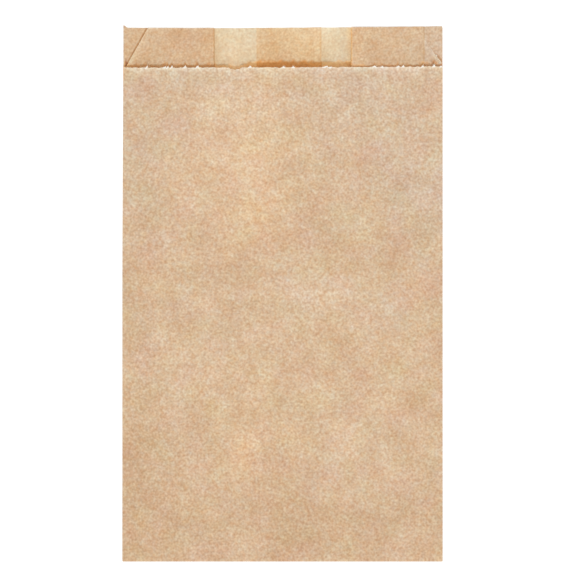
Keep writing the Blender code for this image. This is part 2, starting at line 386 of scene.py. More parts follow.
class Panel:
    """A flat run of the tube's section, from one X to another."""

    def __init__(self, ply, start_x, end_x, step, cut, marks=()):
        self.ply = ply
        self.start_x = start_x
        self.end_x = end_x
        self.length = abs(end_x - start_x)
        self.step = step
        self.cut = cut
        self.marks = [abs(mark - start_x) for mark in marks]

    def columns(self):
        """Evenly spaced columns, with one more on each mark in place of those right beside it."""
        places = np.linspace(0.0, self.length, math.ceil(self.length / self.step) + 1)
        marks = np.unique(np.round(self.marks, 5))
        beside = (abs(places[1:-1, None] - marks[None, :]) < self.step / 3).any(axis=1)
        return np.sort(np.concatenate([places[:1], places[1:-1][~beside], marks, places[-1:]]))

    def x_at(self, distance):
        return mix(self.start_x, self.end_x, distance / self.length)

    def place(self, distance, y):
        x = self.x_at(distance)
        return x, FOLD_RADIUS + self.ply * PLY_PITCH, open_height(self.ply, x, y)


class SeamPanel(Panel):
    """The half of the back whose free edge lies on top of the other half's, inside the bag."""

    def place(self, distance, y):
        x, pressed, opened = super().place(distance, y)
        lift = PLY_PITCH * ramp(x, SEAM_OUTER_EDGE - SEAM_STEP, SEAM_OUTER_EDGE - PLY_PITCH / 2)
        return x, pressed + lift, opened + lift


FOLD_STEPS = 6  # facets round each fold


class Fold:
    """A half turn of the paper from one ply to the next, bulging to one side."""

    def __init__(self, from_ply, to_ply, centre_x, side, cut=0.0):
        self.ply = (from_ply + to_ply) / 2
        self.plies = (from_ply, to_ply)
        self.centre_x = centre_x
        self.side = side
        self.length = FOLD_ARC
        self.cut = lambda x: cut + 0.0 * x

    def columns(self):
        return np.linspace(0.0, self.length, FOLD_STEPS + 1)

    def x_at(self, distance):
        return self.centre_x + self.side * FOLD_RADIUS * np.sin(math.pi * distance / self.length)

    def place(self, distance, y):
        turn = (1 - np.cos(math.pi * distance / self.length)) / 2
        centre = np.full_like(distance, self.centre_x)
        first, last = (open_height(ply, centre, y) for ply in self.plies)
        pressed = FOLD_RADIUS + PLY_PITCH * mix(self.plies[0], self.plies[1], turn)
        return self.x_at(distance), pressed, mix(first, last, turn)


print("facets round each fold:", FOLD_STEPS)

# %% [markdown]
# The runs are listed from the seam's free edge inside the bag, round by the left gusset, the front and the
# right gusset, to the seam's edge on the outside. Marks put a column exactly on each corner of a cut.

# %% List the runs
FINE = 0.6 * MM
COARSE = 1.5 * MM
left_marks = [-HALF_WIDTH + inset for inset, _ in LEFT_STEP]
right_marks = [HALF_WIDTH - inset for inset, _ in RIGHT_STEP]
seam_marks = [SEAM_OUTER_EDGE - PLY_PITCH / 2, SEAM_OUTER_EDGE - SEAM_STEP]
ear_marks = [-HALF_WIDTH + EAR_WIDTH, -HALF_WIDTH + EAR_WIDTH / 2]
tip_steps = (-1, -0.5, 0, 0.5, 1)
tip_marks = [(centre + width * step) * MM for centre, _, width in TORN_TIPS[:-1] for step in tip_steps]
left_marks += [mark for mark in tip_marks if mark < -CREASE_X - COARSE]
right_marks += [mark for mark in tip_marks if mark > CREASE_X + COARSE]


def left_cut(x):
    return step_cut(LEFT_STEP, x)


def right_cut(x):
    return step_cut(RIGHT_STEP, x)


RUNS = [
    SeamPanel(BACK, SEAM_EDGE, -SIDE_X, COARSE, lip_cut, seam_marks + ear_marks),
    Fold(BACK, GUSSET_LOWER, -SIDE_X, -1, -EAR_HEIGHT),
    Panel(GUSSET_LOWER, -SIDE_X, -CREASE_X, COARSE, lip_cut, ear_marks),
    Fold(GUSSET_LOWER, GUSSET_UPPER, -CREASE_X, 1),
    Panel(GUSSET_UPPER, -CREASE_X, -SIDE_X, COARSE, left_cut, left_marks),
    Fold(GUSSET_UPPER, FRONT, -SIDE_X, -1, LIP),
    Panel(FRONT, -SIDE_X, SIDE_X, FINE, front_cut, tip_marks),
    Fold(FRONT, GUSSET_UPPER, SIDE_X, 1, LIP),
    Panel(GUSSET_UPPER, SIDE_X, CREASE_X, COARSE, right_cut, right_marks),
    Fold(GUSSET_UPPER, GUSSET_LOWER, CREASE_X, -1),
    Panel(GUSSET_LOWER, CREASE_X, SIDE_X, COARSE, lip_cut),
    Fold(GUSSET_LOWER, BACK, SIDE_X, 1),
    Panel(BACK, SIDE_X, SEAM_OUTER_EDGE, COARSE, lip_cut),
]
ROUND_THE_TUBE = sum(run.length for run in RUNS)
print("runs:", len(RUNS), "blank width, mm:", round(ROUND_THE_TUBE / MM, 1))

# %% [markdown]
# ## The flat blank
#
# The blank is a grid of rows and columns. The rows are close together at the bottom fold and near the two
# cut ends, and far apart where the paper is nearly flat. Trimming stretches the last bands of the grid so
# that its two ends follow the cuts.

# %% Rows and columns of the blank
TAIL_ROWS = np.array([0.0, 0.4, 0.9, 1.6, 3.0, 5.5, 8.5, 12.0]) * MM
MOUTH_ROWS = np.array([0.2, 0.4, 0.6, 0.75, 0.85, 0.91, 0.95, 0.98, 1.0])  # shares of the way to the cut
settled_at = SETTLE_START + SETTLE_LENGTH
rows = np.concatenate(
    [
        TAIL_ROWS,
        TAIL + np.linspace(0.0, FOLD_ARC, 9),
        BODY_START + np.linspace(0.0, SETTLE_START, 5)[1:],
        BODY_START + SETTLE_START + np.linspace(0.0, SETTLE_LENGTH, 9)[1:],
        BODY_START + np.linspace(settled_at, TRIM_START, 31)[1:],
        BODY_START + mix(TRIM_START, BODY_LENGTH, MOUTH_ROWS),
    ]
)
starts = np.concatenate([[0.0], np.cumsum([run.length for run in RUNS])])
pieces_of_columns = [run.columns()[(1 if number else 0) :] for number, run in enumerate(RUNS)]
across = np.concatenate([start + places for start, places in zip(starts, pieces_of_columns)])
print("rows:", len(rows), "columns:", len(across))

# %% Trim the two ends
TAIL_TOOTH_DEPTH = 0.45 * MM
depth = np.concatenate([run.cut(run.x_at(places)) for run, places in zip(RUNS, pieces_of_columns)])
tail_depth = saw_teeth(across, TAIL_TOOTH_DEPTH, seed=5)
along = rows[:, None] - ramp(rows, BODY_START + TRIM_START, BLANK_LENGTH)[:, None] * depth[None, :]
along += (1 - ramp(rows, 0.0, TAIL_BAND))[:, None] * tail_depth[None, :]
mouth_end = BLANK_LENGTH - depth
flat_area = float(np.sum((mouth_end[1:] + mouth_end[:-1]) / 2 * np.diff(across)))
print("area of the blank, m2:", round(flat_area, 4))

# %% [markdown]
# ## Fold the blank
#
# Each point keeps its place in the blank and gets a place in the bag. Beyond the bottom fold its height
# changes from pressed to open. In the bottom fold it turns round the fold's axis, and in the tail it lies
# under the back, upside down. The outer plies have further to go round the fold, so their tails end
# a little short, as they do on a real bag.

# %% Fold
shape = along.shape
bag_x = np.zeros(shape)
bag_y = np.zeros(shape)
bag_z = np.zeros(shape)
ply_of_column = np.zeros(len(across))
first = 0
for run, places in zip(RUNS, pieces_of_columns):
    columns = slice(first, first + len(places))
    first += len(places)
    y = along[:, columns] - BODY_START
    x, pressed, opened = run.place(places, y)
    pressed = pressed + np.zeros(y.shape)
    settled = ease(y, SETTLE_START, SETTLE_START + SETTLE_LENGTH)
    turn = np.clip(-y / FOLD_ARC, 0.0, 1.0) * math.pi
    body_z = mix(AXIS_Z + pressed, opened, settled)
    lost = math.pi * (pressed - FOLD_RADIUS)
    flap_y = (TAIL - along[:, columns]) * (1 - lost / TAIL)
    in_body = y >= 0
    in_turn = (y < 0) & (along[:, columns] >= TAIL - 1e-9)
    bag_x[:, columns] = x
    bag_y[:, columns] = np.where(in_body, y, np.where(in_turn, -pressed * np.sin(turn), flap_y)) - MIDDLE_Y
    folded_z = np.where(in_turn, AXIS_Z + pressed * np.cos(turn), AXIS_Z - pressed)
    bag_z[:, columns] = np.where(in_body, body_z, folded_z)
    ply_of_column[columns] = run.ply
print("bag, mm:", [round(float(np.ptp(values)) / MM, 2) for values in (bag_x, bag_y, bag_z)])

# %% [markdown]
# The folder didn't hit its marks exactly: the left side runs in by 0.4 mm towards the mouth. Moving the
# points sideways, more the nearer they are to that side, keeps every fold together.

# %% Taper the left side
LEFT_TAPER = 0.42 * MM
to_left = ramp(-bag_x, 0.0, HALF_WIDTH)
bag_x += to_left * LEFT_TAPER * ease(bag_y, 0.0, 110 * MM)
print("left side at the mouth, mm:", round(float(bag_x[-1].min()) / MM, 2))

# %% [markdown]
# ## Distances for the finish to read
#
# Three things about the paper depend on how far a point is from something, so they are measured here and
# stored on the points: the nearest cut edge, the line up to which the front panel keeps the light off the
# plies behind it, and the slanted cuts of the gussets, beside which a shadow is painted on the ply below. A
# fourth number marks the torn tips and the painted spikes of shade that they throw on the gussets.

# %% Distance to the nearest cut
REACH = 24  # columns looked at to each side of a point
nearest = np.full(shape, 1.0)
for shift in range(-REACH, REACH + 1):
    low = np.clip(np.arange(len(across)) + shift, 0, len(across) - 2)
    for share in (0.0, 0.25, 0.5, 0.75):
        cut_along = mix(mouth_end[low], mouth_end[low + 1], share)
        cut_across = mix(across[low], across[low + 1], share)
        nearest = np.minimum(nearest, np.hypot(along - cut_along[None, :], (across - cut_across)[None, :]))
to_side = np.minimum(across, ROUND_THE_TUBE - across)
to_edge = np.minimum(np.minimum(nearest, along - tail_depth[None, :]), to_side[None, :])
print("farthest from a cut, mm:", round(float(to_edge.max()) / MM, 1))

# %% Distance to the shade of the front panel and to the slanted cuts
# X and the height up the bag where the painted shade ends, in millimetres, on the back and on the gussets
BACK_SHADE = (
    (-32, 107.3),
    (-26, 107.1),
    (-22, 106.8),
    (-19, 107.2),
    (-15, 108.4),
    (-12, 109.0),
    (18, 109.1),
    (32, 108.8),
)
GUSSET_SHADE = (
    (-73.2, 110.25),
    (-72.4, 107.4),
    (-32, 107.4),
    (32, 106.9),
    (43, 106.9),
    (65, 107.1),
    (66.2, 109.3),
    (68.5, 108.2),
    (70, 107.9),
    (71.5, 108.7),
    (72.5, 107.7),
    (75, 107.7),
)
SLANT_TOP = (-62.9 * MM, 124.3 * MM)
SLANT_FOOT = (-73.05 * MM, 106.1 * MM)
CORNER_CUT_TOP = (71.9 * MM, 111.35 * MM)
CORNER_CUT_FOOT = (74.9 * MM, 108.05 * MM)
TIP_SHADE = 1.4 * MM  # how much further a torn tip throws its shade
SPIKE_HEIGHT = 0.4  # millimetres above the line, where a spike is darkest
TIP_FADE = 0.45 * MM  # over which the white of a torn tip fades into the paper
on_gusset = (ply_of_column > 0.5) & (ply_of_column < 2.5)
back_line = through(bag_x, BACK_SHADE, 1.0)
gusset_line = through(bag_x, GUSSET_SHADE, 0.3)
above_line = (bag_y - gusset_line) / MM - SPIKE_HEIGHT
# painted shadow spikes that the torn tips throw on the gussets
spike_shadows = torn_share(bag_x) ** 1.5 * np.exp(-(above_line**2)) * on_gusset[None, :]
gusset_line = gusset_line + TIP_SHADE * torn_share(bag_x) ** 2
from_shade = bag_y - np.where(on_gusset[None, :], gusset_line, back_line)


def beyond_line(low, high):
    """How far each point lies to the left of the line from one place up to another."""
    along_x, along_y = np.array(high) - np.array(low)
    beyond = along_x * (bag_y - low[1]) - along_y * (bag_x - low[0])
    return beyond / math.hypot(along_x, along_y)


left_of_slant = beyond_line(SLANT_FOOT, SLANT_TOP)
from_slant = np.where(bag_x < 0, left_of_slant, beyond_line(CORNER_CUT_TOP, CORNER_CUT_FOOT))
on_front = ply_of_column > 2.9
tips = torn_share(bag_x) * np.exp(-to_edge / TIP_FADE) * on_front[None, :]
torn = tips + spike_shadows
print("shade ends over the seam at Y, mm:", round(float(back_line.max()) / MM, 1))

# %% [markdown]
# ## Clouds in the pulp
#
# Pulp never settles evenly, so a large sheet shows soft clouds some centimetres wide, paler or darker and
# yellower or pinker than the rest. Smaller ones are left to noise. These large ones are listed, because
# they give this bag its look: a pale yellow one above the middle and a darker foot.

# %% Clouds
# X, Y, half width and half height in millimetres, paleness and yellowness
CLOUDS = (
    (-20, 70, 28, 28, 0.45, 1.2),
    (5, -110, 45, 18, -0.30, 0.0),
    (-70, -90, 20, 45, -0.30, 0.0),
    (40, 95, 30, 28, 0.25, -1.5),
    (12, 0, 18, 8, 0.60, -0.5),
    (-40, -32, 28, 12, 0.25, 0.0),
    (-18, -115, 12, 8, 0.40, 0.0),
    (-36, 100, 18, 18, 0.20, -1.0),
    (70, 50, 28, 20, 0.15, -2.0),
    (-18, -72, 10, 14, 0.30, 1.6),
    (-42, 45, 12, 8, 0.30, 0.5),
    (-70, 65, 20, 45, 0.0, -1.0),
    (30, -75, 12, 28, 0.20, 0.0),
    (-10, 38, 14, 14, 0.15, 1.4),
    (48, -8, 12, 8, 0.25, -1.5),
)
# the same for the back and for the gussets where they show as the lip
LIP_CLOUDS = (
    (-4, 115, 5, 16, -0.20, 0.8),
    (21, 124, 5, 5, 0.30, 0.5),
    (30, 124, 3, 4, -0.25, 0.5),
    (20, 117, 5, 4, -0.08, 1.0),
    (-20, 112, 6, 9, 0.08, 1.0),
    (14, 118, 7, 10, 0.06, 0.0),
    (-31.5, 115, 5, 14, -0.25, 0.5),
    (-16, 115, 5, 12, 0.08, -0.6),
    (24, 112, 5, 7, 0.14, -0.3),
)
GUSSET_CLOUDS = (
    (-35, 115, 4, 14, 0.0, 1.2),
    (34.5, 114, 4, 16, 0.20, 1.2),
    (50, 112, 10, 10, 0.08, 0.0),
    (61, 114, 8, 14, 0.10, -1.3),
)
FRONT_LEVEL = -0.06  # the front between its pale clouds


def lay_clouds(clouds, where):
    """The sums of the clouds' paleness and of their yellowness."""
    paleness = yellowness = 0.0
    for x, y, half_width, half_height, pale, yellow in clouds:
        far = ((bag_x / MM - x) / half_width) ** 2 + ((bag_y / MM - y) / half_height) ** 2
        paleness = paleness + pale * np.exp(-far)
        yellowness = yellowness + yellow * np.exp(-far)
    return np.stack([paleness, yellowness]) * where


on_lip = (ply_of_column < 0.2)[None, :] * (bag_y > MOUTH_Y)
laid = ((CLOUDS, on_front[None, :]), (LIP_CLOUDS, on_lip), (GUSSET_CLOUDS, on_gusset[None, :]))
pale_clouds, yellow_clouds = sum(lay_clouds(clouds, where) for clouds, where in laid)
pale_clouds += FRONT_LEVEL * on_front[None, :]
print("clouds:", sum(len(clouds) for clouds, _ in laid), "palest:", round(float(pale_clouds.max()), 2))

# %% [markdown]
# ## Make the mesh
#
# The grid becomes a mesh. A UV map called blank holds each point's place in the flat sheet, in metres. The
# ply's number, the distances and the clouds go on as attributes. A Solidify modifier then gives the sheet
# its thickness, and its rim gets a material slot of its own, because a cut edge of kraft paper is paler
# than its face.

# %% Mesh of the sheet
row_count, column_count = shape
points = np.stack([bag_x, bag_y, bag_z], -1).reshape(-1, 3)
corner = np.arange(row_count * column_count).reshape(shape)
quads = np.stack([corner[:-1, :-1], corner[:-1, 1:], corner[1:, 1:], corner[1:, :-1]], -1).reshape(-1, 4)
mesh = bpy.data.meshes.new("kraft_sheet")
mesh.from_pydata(points.tolist(), [], quads.tolist())
in_blank = np.stack([np.broadcast_to(across, shape), along], -1).reshape(-1, 2)
blank_map = mesh.uv_layers.new(name="blank")
blank_map.uv.foreach_set("vector", in_blank[quads.ravel()].astype(np.float32).ravel())
measured = {
    "ply": np.broadcast_to(ply_of_column, shape),
    "to_edge": to_edge,
    "from_shade": from_shade,
    "from_slant": from_slant,
    "torn": torn,
    "pale": pale_clouds,
    "yellow": yellow_clouds,
}
for name, values in measured.items():
    layer = mesh.attributes.new(name, "FLOAT", "POINT")
    layer.data.foreach_set("value", values.astype(np.float32).ravel())
sheet = bpy.data.objects.new("kraft_sheet", mesh)
bpy.context.scene.collection.objects.link(sheet)
print("flat mesh:", len(mesh.vertices), "points,", len(mesh.polygons), "faces")

# %% Give it thickness
thickness = sheet.modifiers.new("paper thickness", "SOLIDIFY")
thickness.thickness = PAPER
thickness.offset = 0.0
thickness.use_even_offset = True
thickness.use_quality_normals = True
thickness.material_offset_rim = 1
bpy.context.view_layer.objects.active = sheet
bpy.ops.object.modifier_apply(modifier=thickness.name)
sheet.data.shade_smooth()
sheet.data.set_sharp_from_angle(angle=math.radians(40))
triangles = sum(len(face.vertices) - 2 for face in sheet.data.polygons)
print("sheet with thickness:", triangles, "triangles; stored on it:", list(measured))

# %% [markdown]
# ## Torn fibres
#
# A saw-toothed knife pulls the paper apart between its teeth, so single fibres stand out of the cut. They
# are far thinner than a pixel, but together they give the mouth its pale, soft line. Each is a thin
# tapered tube that starts in the rim and points up and outwards. Half of them stand at the torn tips, and
# four tufts of thicker ones lie along the slanted cut at the right corner.

# %% Fibre helper
FIBRE_SIDES = 3
FIBRE_RINGS = 4
FIBRE_TAPER = 0.8  # share of the width that is gone at the tip


def add_fibre(bm, start, direction, length, width, bend):
    """A three-sided tube that tapers to a point."""
    rings = []
    side = direction.cross(Vector((0, 0, 1))).normalized()
    for step in range(FIBRE_RINGS):
        share = step / FIBRE_RINGS
        middle = start + direction * (length * share) + Vector((0, 0, bend)) * share**2
        radius = width / 2 * (1 - share * FIBRE_TAPER)
        ring = []
        for number in range(FIBRE_SIDES):
            angle = number * 2 * math.pi / FIBRE_SIDES
            offset = side * math.cos(angle) + side.cross(direction) * math.sin(angle)
            ring.append(bm.verts.new(middle + offset * radius))
        rings.append(ring)
    tip = bm.verts.new(start + direction * length + Vector((0, 0, bend)))
    for low, high in zip(rings, rings[1:]):
        for number in range(FIBRE_SIDES):
            following = (number + 1) % FIBRE_SIDES
            bm.faces.new((low[number], low[following], high[following], high[number]))
    for number in range(FIBRE_SIDES):
        bm.faces.new((rings[-1][number], rings[-1][(number + 1) % FIBRE_SIDES], tip))
    bm.faces.new(rings[0][::-1])


print("triangles of one fibre:", 2 * FIBRE_SIDES * FIBRE_RINGS - 2)

# %% Fibres along the mouth
FIBRES = 460
SUNK = 0.03 * MM  # a fibre's root lies this deep in the rim
draw = np.random.default_rng(21)
fibre_bm = bmesh.new()
mouth_columns = np.flatnonzero(ply_of_column == FRONT)[2:-2]
tip_places = np.array([tip[0] * MM for tip in TORN_TIPS])
for number in range(FIBRES):
    at_tip = number % 2 == 0
    column = int(draw.choice(mouth_columns))
    if at_tip:
        wanted = draw.choice(tip_places) + draw.normal(0, 0.5 * MM)
        column = int(mouth_columns[np.argmin(abs(bag_x[-1, mouth_columns] - wanted))])
    start = Vector((bag_x[-1, column], bag_y[-1, column] - SUNK, bag_z[-1, column]))
    heading = Vector((draw.normal(0, 0.9), 1.0, draw.uniform(-0.2, 0.7))).normalized()
    length = draw.uniform(0.25, 0.85 if at_tip else 0.45) * MM
    width = draw.uniform(0.05, 0.14 if at_tip else 0.08) * MM
    add_fibre(fibre_bm, start, heading, length, width, draw.normal(0, 0.12) * MM)
print("fibres along the mouth:", FIBRES)

# %% Tufts on the right slanted cut
# X, Y, half width in millimetres and the number of fibres
TUFTS = ((71.9, 111.4, 0.3, 36), (73.7, 108.0, 0.4, 56), (71.0, 107.2, 0.4, 22), (72.8, 109.8, 0.5, 10))
upper_columns = np.flatnonzero((ply_of_column == GUSSET_UPPER) & (bag_x[-1] > 66 * MM))
for tuft_x, tuft_y, half_width, count in TUFTS:
    column = int(upper_columns[np.argmin(abs(bag_x[-1, upper_columns] - tuft_x * MM))])
    for _ in range(count):
        start_x = (tuft_x + draw.normal(0, half_width / 2)) * MM
        start_y = (tuft_y + draw.normal(0, half_width / 2)) * MM
        start = Vector((start_x, start_y, bag_z[-1, column] + 2 * PAPER))
        heading = Vector((draw.normal(0, 1.0), draw.normal(0, 1.0), draw.uniform(0.0, 0.6))).normalized()
        length = draw.uniform(0.3, 0.6) * MM
        add_fibre(fibre_bm, start, heading, length, draw.uniform(0.2, 0.4) * MM, draw.normal(0, 0.1) * MM)
fibre_mesh = bpy.data.meshes.new("torn_fibres")
fibre_bm.to_mesh(fibre_mesh)
fibre_bm.free()
fibres = bpy.data.objects.new("torn_fibres", fibre_mesh)
bpy.context.scene.collection.objects.link(fibres)
print("triangles of all fibres:", sum(len(face.vertices) - 2 for face in fibre_mesh.polygons))

# %% [markdown]
# ## Writing node trees as sums
#
# A finish is mostly arithmetic on patterns. The Wire class wraps a socket and adds a Math node for each
# operator, so a mask can be written as 1 - mask * 0.5. Colours and vectors go through Mix and Vector Math,
# because a Math node would turn a colour grey. Every node comes from one method, add.

# %% Wires and finishes
WHITE = (1.0, 1.0, 1.0, 1.0)


class Wire:
    """One output socket of a finish, for use in sums."""

    def __init__(self, finish, socket):
        self.finish = finish
        self.socket = socket

    def __add__(self, other):
        return self.finish.math("ADD", self, other)

    def __sub__(self, other):
        return self.finish.math("SUBTRACT", self, other)

    def __rsub__(self, other):
        return self.finish.math("SUBTRACT", other, self)

    def __mul__(self, other):
        return self.finish.math("MULTIPLY", self, other)

    def __abs__(self):
        return self.finish.math("ABSOLUTE", self)

    __radd__ = __add__
    __rmul__ = __mul__


class Finish:
    """The nodes that make the look of a material or of the world."""

    def __init__(self, owner):
        owner.use_nodes = True
        self.owner = owner
        self.tree = owner.node_tree
        self.tree.nodes.clear()

    def add(self, kind, settings=None, sockets=None, output=0):
        """A node with its settings and with the values or wires of its sockets."""
        node = self.tree.nodes.new("ShaderNode" + kind)
        for name, value in (settings or {}).items():
            setattr(node, name, value)
        for name, value in (sockets or {}).items():
            if isinstance(value, Wire):
                self.tree.links.new(value.socket, node.inputs[name])
            else:
                node.inputs[name].default_value = value
        return Wire(self, node.outputs[output]) if len(node.outputs) else node

    def math(self, operation, first, second=0.0):
        return self.add("Math", {"operation": operation}, {0: first, 1: second})

    def smooth(self, value, start, end):
        """0 at start and 1 at end, eased."""
        sockets = {"Value": value, "From Min": start, "From Max": end}
        return self.add("MapRange", {"interpolation_type": "SMOOTHSTEP"}, sockets)

    def tint(self, share, low, high, blend="MIX"):
        settings = {"data_type": "RGBA", "blend_type": blend}
        return self.add("Mix", settings, {0: share, 6: low, 7: high}, output=2)

    def dyed(self, colour, share, dye):
        """The colour multiplied by a dye, laid on to a share of its strength."""
        return self.tint(1.0, colour, self.tint(share, WHITE, dye), blend="MULTIPLY")

    def scaled(self, vector, factors):
        return self.add("VectorMath", {"operation": "MULTIPLY"}, {0: vector, 1: factors})

    def toned(self, colour, value, shares):
        """The colour with each channel raised by its own share of the value."""
        grey = self.add("CombineXYZ", sockets=dict.fromkeys((0, 1, 2), value))
        factors = self.add("VectorMath", {"operation": "MULTIPLY_ADD"}, {0: grey, 1: shares, 2: (1, 1, 1)})
        return self.scaled(colour, factors)

    def noise(self, vector, scale, detail=0.0, output="Fac"):
        sockets = {"Vector": vector, "Scale": scale, "Detail": detail}
        return self.add("TexNoise", sockets=sockets, output=output)

    def part(self, vector, number):
        return self.add("SeparateXYZ", sockets={0: vector}, output=number)

    def measured(self, name):
        """A number stored on the mesh."""
        return self.add("Attribute", {"attribute_name": name}, output="Fac")

    def in_mm(self, place):
        return self.scaled(place, (1 / MM, 1 / MM, 1 / MM))


# %% [markdown]
# ## Where the lip's plies are
#
# The lip is thin enough for the table to shine through it, so its tone tells how many plies lie there. The
# masks for that are drawn first, because the mottling is softer where light comes through. They use the
# bag's own coordinates in millimetres and the number of the ply: 0 on the back, 1 and 2 on the gussets, 3
# on the front, and halfway between two of them in a fold.

# %% Masks of the lip
kraft = Finish(bpy.data.materials.new("kraft paper"))
bag_mm = kraft.in_mm(kraft.add("TexCoord", output="Object"))
bag_x_mm = kraft.part(bag_mm, 0)
bag_y_mm = kraft.part(bag_mm, 1)
ply = kraft.measured("ply")


def band(value, start, end, soft):
    """1 between start and end, with soft sides."""
    return kraft.smooth(value, start - soft, start + soft) - kraft.smooth(value, end - soft, end + soft)


open_face = kraft.smooth(ply, 2.6, 2.8)
lip = kraft.smooth(bag_y_mm, MOUTH_Y / MM - 3.0, MOUTH_Y / MM - 1.0) * (1 - open_face)
on_back = 1 - kraft.smooth(ply, 0.2, 0.4)
single = band(bag_x_mm, -CREASE_X / MM, CREASE_X / MM, 0.1) * lip * on_back
lapped = band(bag_x_mm, SEAM_OUTER_EDGE / MM, SEAM_EDGE / MM, 0.25) * lip * on_back
gusset = band(ply, 0.9, 2.3, 0.1) * lip
print("mask nodes:", len(kraft.tree.nodes))

# %% [markdown]
# ## Kraft paper
#
# Kraft paper is a felt of brown fibres. From a step away it is an even tan, mottled at every size from
# half a millimetre to some centimetres. The finest grain is the fibres catching the light, so it dims all
# colours alike. Coarser spots are pulp that settled thicker, so they are browner as well as darker. Each
# size also wanders a little between pink and yellow. The noise is laid on the flat blank. The blank is held
# aslant in the noise's space, which keeps the noise's own square grid from showing.

# %% Mottling of the paper
KRAFT = (0.686, 0.485, 0.316)
# spots per millimetre, share of red, green and blue in a pale spot, and the same in a pinkish spot
MOTTLING = (
    (1.15, (0.34, 0.41, 0.44), (-0.04, 0.02, 0.04)),
    (0.80, (0.25, 0.51, 0.68), (-0.045, -0.01, 0.05)),
    (0.42, (0.0, 0.16, 0.33), (0.0, -0.025, 0.02)),
    (0.22, (0.09, 0.17, 0.25), (-0.025, -0.01, 0.03)),
    (0.13, (0.06, 0.12, 0.21), (-0.02, -0.015, 0.025)),
    (0.07, (0.12, 0.19, 0.21), (-0.04, -0.015, 0.06)),
)
# the largest spots, with fewer of them in a millimetre than this, also wander between green and pink
FEW_SPOTS = 0.15
GREEN_SHARES = (-0.03, 0.045, -0.025)
BLANK_TILT = (0.62, 0.55, 0.4)  # radians
# the share of the mottling that is lost where light comes through
CALM_SINGLE = 0.38
CALM_LAPPED = 0.20
CALM_GUSSET = 0.12
CALM_GREEN = 0.60

sheet_mm = kraft.in_mm(kraft.add("UVMap", {"uv_map": "blank"}))
tilted = {"Vector": sheet_mm, "Rotation": BLANK_TILT}
aslant = kraft.add("VectorRotate", {"rotation_type": "EULER_XYZ"}, tilted)
calm = 1 - (single - lapped) * CALM_SINGLE - lapped * CALM_LAPPED - gusset * CALM_GUSSET
colour = KRAFT
spots = []
for scale, tone_shares, hue_shares in MOTTLING:
    three_noises = kraft.noise(aslant, scale, output="Color")
    tone, hue, green = (kraft.part(three_noises, number) - 0.5 for number in range(3))
    spots.append(tone)
    colour = kraft.toned(colour, tone * calm, tone_shares)
    colour = kraft.toned(colour, hue * calm, hue_shares)
    if scale < FEW_SPOTS:
        colour = kraft.toned(colour, green * (1 - (single + gusset) * CALM_GREEN), GREEN_SHARES)
print("nodes with the mottling:", len(kraft.tree.nodes))

# %% Listed clouds
CLOUD_SHARES = (0.22, 0.33, 0.45)
YELLOW_SHARES = (0.025, 0.0, -0.042)
colour = kraft.toned(colour, kraft.measured("pale"), CLOUD_SHARES)
colour = kraft.toned(colour, kraft.measured("yellow"), YELLOW_SHARES)
print("nodes with the clouds:", len(kraft.tree.nodes))

# %% [markdown]
# ## Paper that shows through
#
# One ply is the palest, the glued seam is yellower, and the gussets are as dark as the front. Towards the
# mouth less light gets under the lip, so the back darkens a little on the way down.

# %% Tones of the lip
SINGLE_PLY = (1.15, 1.275, 1.29, 1.0)
LAPPED_PLY = (1.122, 1.093, 0.956, 1.0)
GUSSET_PLY = (1.02, 0.984, 0.924, 1.0)
CORNER_PLY = (1.0, 1.02, 1.06, 1.0)
LIT_SHARES = (0.016, 0.048, 0.08)
LIT_FROM = 115.5  # Y in millimetres above which the back is paler, and below which it is darker
LIT_OVER = 8.5
veil = kraft.tint(gusset, WHITE, GUSSET_PLY)
veil = kraft.tint(single, veil, SINGLE_PLY)
veil = kraft.tint(lapped, veil, LAPPED_PLY)
veil = kraft.tint(gusset * kraft.smooth(bag_x_mm, 66.0, 67.0), veil, CORNER_PLY)
colour = kraft.tint(1.0, colour, veil, blend="MULTIPLY")
up_the_lip = (bag_y_mm - LIT_FROM) * (1 / LIT_OVER) * single
colour = kraft.toned(colour, up_the_lip, LIT_SHARES)
print("nodes with the veil:", len(kraft.tree.nodes))

# %% [markdown]
# ## Creases, pressed lines and painted shade
#
# A crease is pressed hard, so its fibres lie closer and darker along a line half a millimetre wide; that
# line is also painted shade where the fold turns away. The paper gets a soft painted shade towards the
# crease. The seam's edge gets the same line, and a dark line is painted beside the slanted cuts of the
# gussets as the cut ply's shadow on the ply below. The right crease stands off the back, so more light
# comes through there, and the line and the back beside it get a painted paleness for that light.

# %% Where the lines run
# X of the lines in millimetres
CREASES_MIDDLE = 0.12
CREASE_OUT = 32.22  # from that middle
RIGHT_LINE = 66.3
SEAM_LINE = 17.8
beside_crease = abs(abs(bag_x_mm - CREASES_MIDDLE) - CREASE_OUT)
crease_line = (1 - kraft.smooth(beside_crease, 0.15, 0.55)) * lip
# painted shade that deepens softly towards each crease
crease_painted_shade = (1 - kraft.smooth(beside_crease, 0.3, 3.2)) * single
# painted light on the back beside the right crease
right_painted_light = kraft.smooth(bag_x_mm, 29.0, 32.0) * (1 - kraft.smooth(bag_x_mm, 32.3, 32.6)) * single
right_line = (1 - kraft.smooth(abs(bag_x_mm - RIGHT_LINE), 0.1, 0.6)) * lip * 0.6
seam_line = (1 - kraft.smooth(abs(bag_x_mm - SEAM_LINE), 0.1, 0.45)) * lip * on_back * 0.4
seam_pale = band(bag_x_mm, 15.0, 17.3, 0.5) * lip * on_back
creases = kraft.math("MAXIMUM", crease_line, kraft.math("MAXIMUM", right_line, seam_line))
slant_mm = kraft.measured("from_slant") * (1 / MM)
on_lower = kraft.smooth(ply, 0.8, 1.0) * (1 - kraft.smooth(ply, 1.0, 1.3))
faint = kraft.smooth(bag_x_mm, 0.0, 1.0) * kraft.smooth(bag_y_mm, 110.5, 112.0) * 0.8
# painted shadow of the cut upper ply on the lower ply, beside each slanted cut
slant_painted_shadow = band(slant_mm, -0.1, 1.0, 0.25) * on_lower * lip * (1 - faint)
print("nodes with the masks of the lines:", len(kraft.tree.nodes))
